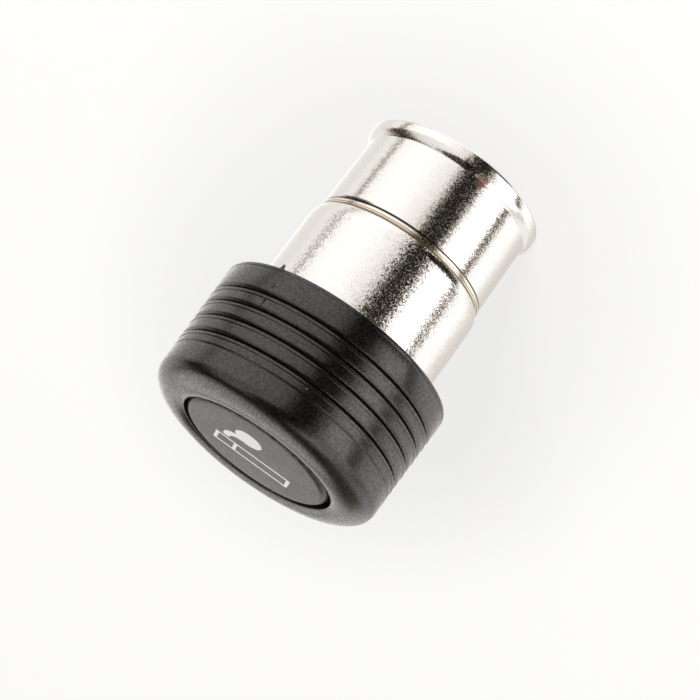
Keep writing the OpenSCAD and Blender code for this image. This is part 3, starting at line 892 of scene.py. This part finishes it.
def makeCamera():
    # the view direction lies in the plane X = 0; right and up are turned so that the plug's
    # axis runs at axisDeg, measured clockwise from the image's right
    c = cameraPlace
    e, a = math.radians(c["elevationDeg"]), math.radians(c["axisDeg"])
    back = np.array([0, math.cos(e), math.sin(e)])
    across = np.array([1.0, 0, 0])
    along = np.array([0, -math.sin(e), math.cos(e)])
    right = math.sin(a) * across + math.cos(a) * along
    up = math.cos(a) * across - math.sin(a) * along
    half = c["imagePx"] / 2
    dx = (c["originPx"][0] - half) / c["pxPerMm"]
    dy = (half - c["originPx"][1]) / c["pxPerMm"]
    place = (-dx * right - dy * up + c["distance"] * back) * mm
    data = bpy.data.cameras.new("camera")
    data.sensor_width = c["sensor"]
    data.lens = c["pxPerMm"] * c["distance"] * c["sensor"] / c["imagePx"]
    data.clip_start, data.clip_end = 0.005, 20
    camera = addObject("camera", data)
    matrix = np.eye(4)
    matrix[:3, 0], matrix[:3, 1], matrix[:3, 2], matrix[:3, 3] = right, up, back, place
    camera.matrix_world = Matrix(matrix.tolist())
    bpy.context.scene.camera = camera


makeCamera()


# lengths in metres; the glow grows from its near level to glowFar between the two reaches, so that it is
# dimmer round the plug as a painted soft shadow, and its rounds are squashed along Y as the camera sees
# them
stageLook = {
    "floorSize": 6.0, "floorColour": (0.86, 0.86, 0.85, 1), "floorRoughness": 0.6, "glowShare": 0.72,
    "glowTint": (1.0, 0.996, 0.990, 1), "shadedGlowNear": 0.95, "glowFar": 1.10, "glowReach": (0.016, 0.042),
    "glowCentre": (0.0014, -0.066), "glowSquash": 0.312,
}


def makeFloor():
    # the camera sees mostly a glow that brightens away from the plug, its dimmer middle a painted soft
    # shadow round it, and the rest is the light that falls on the card, which carries the shadow; from
    # below the card is clear
    look = stageLook
    size = look["floorSize"]
    corners = [(-size, -size, 0), (size, -size, 0), (size, size, 0), (-size, size, 0)]
    data = bpy.data.meshes.new("floor")
    data.from_pydata(corners, [], [(0, 1, 2, 3)])
    floor = addObject("floor", data)
    floor.visible_glossy = False
    material, tree, shader = newMaterial("floorCard", Base_Color=look["floorColour"],
                                         Roughness=look["floorRoughness"])
    x, y, _ = splitNode(tree, objectPlace(tree))
    across = mathNode(tree, "SUBTRACT", x, look["glowCentre"][0])
    along = times(tree, mathNode(tree, "SUBTRACT", y, look["glowCentre"][1]), look["glowSquash"])
    squares = mathNode(tree, "ADD", times(tree, across, across), times(tree, along, along))
    far = mathNode(tree, "SQRT", squares)
    # the dimmer glow near the plug is a painted soft shadow
    level = mapNode(tree, far, *look["glowReach"], look["shadedGlowNear"], look["glowFar"], smooth=True)
    seen = addNode(tree, "ShaderNodeLightPath").outputs["Is Camera Ray"]
    glow = addNode(tree, "ShaderNodeEmission", [("Color", look["glowTint"]), ("Strength", level)])
    above = mixShader(tree, times(tree, seen, look["glowShare"]), shader, glow)
    under = addNode(tree, "ShaderNodeNewGeometry").outputs["Backfacing"]
    clear = addNode(tree, "ShaderNodeBsdfTransparent")
    card = mixShader(tree, times(tree, under, seen), above, clear)
    tree.links.new(card.outputs[0], tree.nodes["Material Output"].inputs["Surface"])
    data.materials.append(material)


# brightness of the room seen in gloss, by degrees from +Y towards +X: below the horizon and above it
lowTones = [
    (-180, 1.40), (-166, 1.20), (-148, 0.90), (-124, 0.83), (-112, 0.94), (-101, 0.96), (-98.5, 0.34),
    (-93.5, 0.34), (-90, 1.05), (-64, 1.22), (-40, 1.18), (-24, 1.04), (-12, 0.94), (-5, 0.74),
    (1, 0.02), (27, 0.02), (32, 0.60), (38, 1.55), (46, 2.05), (68, 2.05), (71, 0.12), (80, 0.12),
    (83.5, 1.1), (96, 1.30), (112, 1.12), (128, 0.80), (145, 0.72), (162, 0.72), (172, 0.90),
    (180, 1.40),
]
highTones = [
    (-180, 0.85), (-125, 0.92), (-110, 0.04), (-90, 0.04), (-77, 0.80), (-60, 0.86), (-30, 0.95),
    (-10, 0.92), (-4, 0.04), (24, 0.04), (33, 0.8), (42, 1.50), (60, 1.50), (82, 1.25), (88, 0.75),
    (100, 0.75), (106, 1.0), (150, 0.9), (180, 0.85),
]
# windows are (low, high, softness) and eases (from, to), in degrees; shares are how much goes dark
roomLook = {
    "plainLight": 0.62, "plainTint": (1.0, 0.995, 0.985, 1), "bright": (1.0, 0.982, 0.958, 1),
    "dark": (1.0, 0.80, 0.58, 1), "paleTone": 0.9, "horizon": (-4.0, 8.0),
    "patchRise": (-57.0, -38.0, 4.0), "patchRound": (22.0, 76.0, 5.0), "patchShare": 0.96,
    "wedgeSlope": 0.6, "wedgeEase": (14.0, 26.0), "wedgeRound": (-50.0, 10.0, 10.0), "wedgeShare": 0.95,
    "lampWay": (-0.201, -0.603, 0.773), "lampEase": (20.0, 29.0), "lampTone": 1.7,
    "ringAway": (30.0, 46.0, 8.0), "ringEase": (17.0, 31.0), "ringKeep": 0.04, "ringSides": 0.85,
}


def toneRamp(tree, azimuth, tones):
    # a colour ramp round the horizon, from (degrees, tone) pairs
    ramp = addNode(tree, "ShaderNodeValToRGB", [(0, mapNode(tree, azimuth, -180.0, 180.0, 0.0, 1.0))])
    stops = ramp.color_ramp.elements
    while len(stops) > 1:
        stops.remove(stops[-1])
    for index, (degrees, tone) in enumerate(tones):
        stop = stops[0] if index == 0 else stops.new((degrees + 180) / 360)
        stop.position = (degrees + 180) / 360
        stop.color = (tone, tone, tone, 1)
    return ramp.outputs[0]


def darken(tree, tones, mask, share):
    # tones times one less the share of the mask
    kept = mathNode(tree, "SUBTRACT", 1.0, times(tree, mask, share))
    return times(tree, tones, kept)


def makeWorld():
    # gloss reflects a pale room with upright dark gaps: one set of tones below the horizon and one
    # above, a dark patch low on the right, a dark wedge that climbs to the left, and a soft lamp
    # overhead inside a dark ring; all else sees plain light
    look = roomLook
    world = bpy.data.worlds.new("room")
    bpy.context.scene.world = world
    world.use_nodes = True
    tree = world.node_tree
    tree.nodes.clear()
    direction = addNode(tree, "ShaderNodeTexCoord").outputs["Generated"]
    x, y, z = splitNode(tree, direction)
    azimuth = azimuthOf(tree, x, y)
    elevation = times(tree, mathNode(tree, "ARCSINE", z), 180 / math.pi)
    rise = mapNode(tree, elevation, *look["horizon"], 0.0, 1.0, smooth=True)
    tones = blend(tree, rise, toneRamp(tree, azimuth, lowTones), toneRamp(tree, azimuth, highTones))
    patch = times(tree, window(tree, elevation, *look["patchRise"]),
                  window(tree, azimuth, *look["patchRound"]))
    tones = darken(tree, tones, patch, look["patchShare"])
    lift = mathNode(tree, "ADD", elevation, times(tree, azimuth, look["wedgeSlope"]))
    wedge = times(tree, mapNode(tree, lift, *look["wedgeEase"], 0.0, 1.0, smooth=True),
                  window(tree, azimuth, *look["wedgeRound"]))
    tones = darken(tree, tones, wedge, look["wedgeShare"])
    facing = vectorNode(tree, "DOT_PRODUCT", direction, look["lampWay"]).outputs["Value"]
    away = times(tree, mathNode(tree, "ARCCOSINE", facing), 180 / math.pi)
    ring = times(tree, window(tree, away, *look["ringAway"]),
                 mapNode(tree, elevation, *look["ringEase"], 0.0, 1.0, smooth=True))
    sides = times(tree, times(tree, x, x), look["ringSides"])
    kept = mathNode(tree, "ADD", sides, look["ringKeep"])
    tones = blend(tree, ring, tones, times(tree, tones, kept))
    lamp = mapNode(tree, away, *look["lampEase"], 1.0, 0.0, smooth=True)
    level = blend(tree, lamp, tones, look["lampTone"])
    gloom = mapNode(tree, level, 0.0, look["paleTone"], 1.0, 0.0)
    paint = mixColour(tree, gloom, look["bright"], look["dark"])
    room = addNode(tree, "ShaderNodeBackground", [("Color", paint), ("Strength", level)])
    plain = addNode(tree, "ShaderNodeBackground", [
        ("Color", look["plainTint"]), ("Strength", look["plainLight"])])
    white = addNode(tree, "ShaderNodeBackground", [("Color", (1, 1, 1, 1)), ("Strength", 1.0)])
    path = addNode(tree, "ShaderNodeLightPath")
    glossy = mixShader(tree, path.outputs["Is Glossy Ray"], plain, room)
    seen = mixShader(tree, path.outputs["Is Camera Ray"], glossy, white)
    output = addNode(tree, "ShaderNodeOutputWorld")
    tree.links.new(seen.outputs[0], output.inputs[0])


# degrees from +Y towards +X and above the ground; metres
keyLook = {"azimuth": -12, "elevation": 21, "distance": 0.7, "size": 0.16, "watts": 3.0, "aimZ": 0.02}


def makeLamp(name, look):
    # a soft square lamp that faces the plug's middle: it stands off by distance along the way out,
    # with its own axes at right angles to that
    data = bpy.data.lights.new(name, "AREA")
    data.size, data.energy = look["size"], look["watts"]
    lamp = addObject(name, data)
    a, e = math.radians(look["azimuth"]), math.radians(look["elevation"])
    away = np.array([math.sin(a) * math.cos(e), math.cos(a) * math.cos(e), math.sin(e)])
    side = np.cross((0, 0, 1), away)
    side /= np.linalg.norm(side)
    matrix = np.eye(4)
    matrix[:3, 0], matrix[:3, 1], matrix[:3, 2] = side, np.cross(away, side), away
    matrix[:3, 3] = away * look["distance"] + np.array([0, 0, look["aimZ"]])
    lamp.matrix_world = Matrix(matrix.tolist())
    lamp.visible_glossy = False


makeFloor()
makeWorld()
makeLamp("frontKey", keyLook)
bpy.context.scene.view_settings.view_transform = "Standard"
print("camera, stage and light made")
